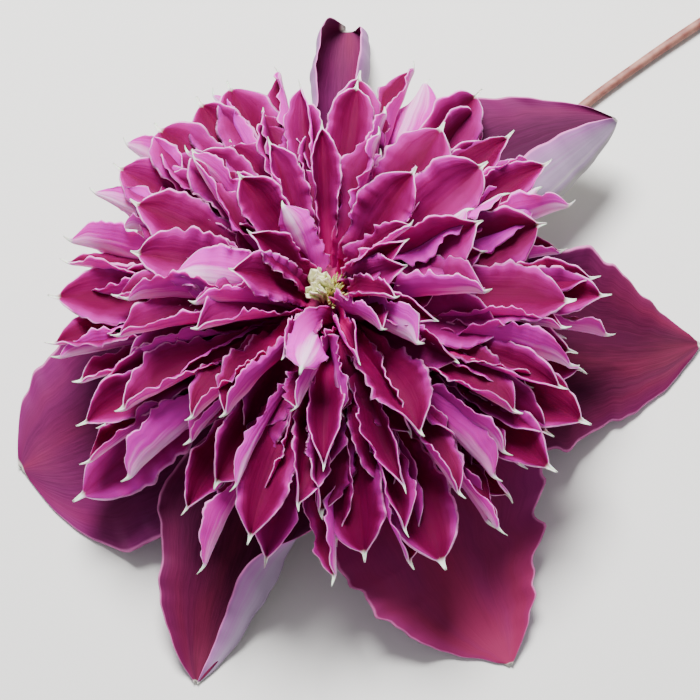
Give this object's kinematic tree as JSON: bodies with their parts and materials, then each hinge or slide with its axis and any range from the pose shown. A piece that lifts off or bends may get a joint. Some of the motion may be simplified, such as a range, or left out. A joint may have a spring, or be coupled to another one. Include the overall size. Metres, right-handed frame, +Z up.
{
  "type": "clematis flower",
  "caption": "Picked double clematis bloom lying face up: a domed head of pointed boat-shaped petals with a cream tuft, over broad spreading sepals, on a bent lying stalk.",
  "frame": {"origin": "on the surface that the flower lies on, under the middle of the part's footprint", "axes": "+Z up, out of the flower's face; +Y towards the picture's top; +X towards its right, the stalk lying between +X and +Y"},
  "size_m": [0.1305, 0.1285, 0.0411],
  "materials": {
    "petal": "soft satin petal, crimson inside, paler outside, pale crisped margin and white-green tip",
    "sepal": "velvety wine-red sepal with a purple margin, grey-lavender downy underside",
    "stalk": "smooth pink-brown stem with faint ribs, pale at the cut end",
    "stamen": "matte cream filaments",
    "style": "satin yellow-green bristles with darker tips"
  },
  "bodies": {
    "root": {"petal_head": "petal", "sepal_right": "sepal", "sepal_upper_right": "sepal", "sepal_top": "sepal", "sepal_upper_left": "sepal", "sepal_left": "sepal", "sepal_lower_left": "sepal", "sepal_lower_right": "sepal", "stalk": "stalk", "stamens": "stamen", "styles": "style"}
  },
  "joints": []
}
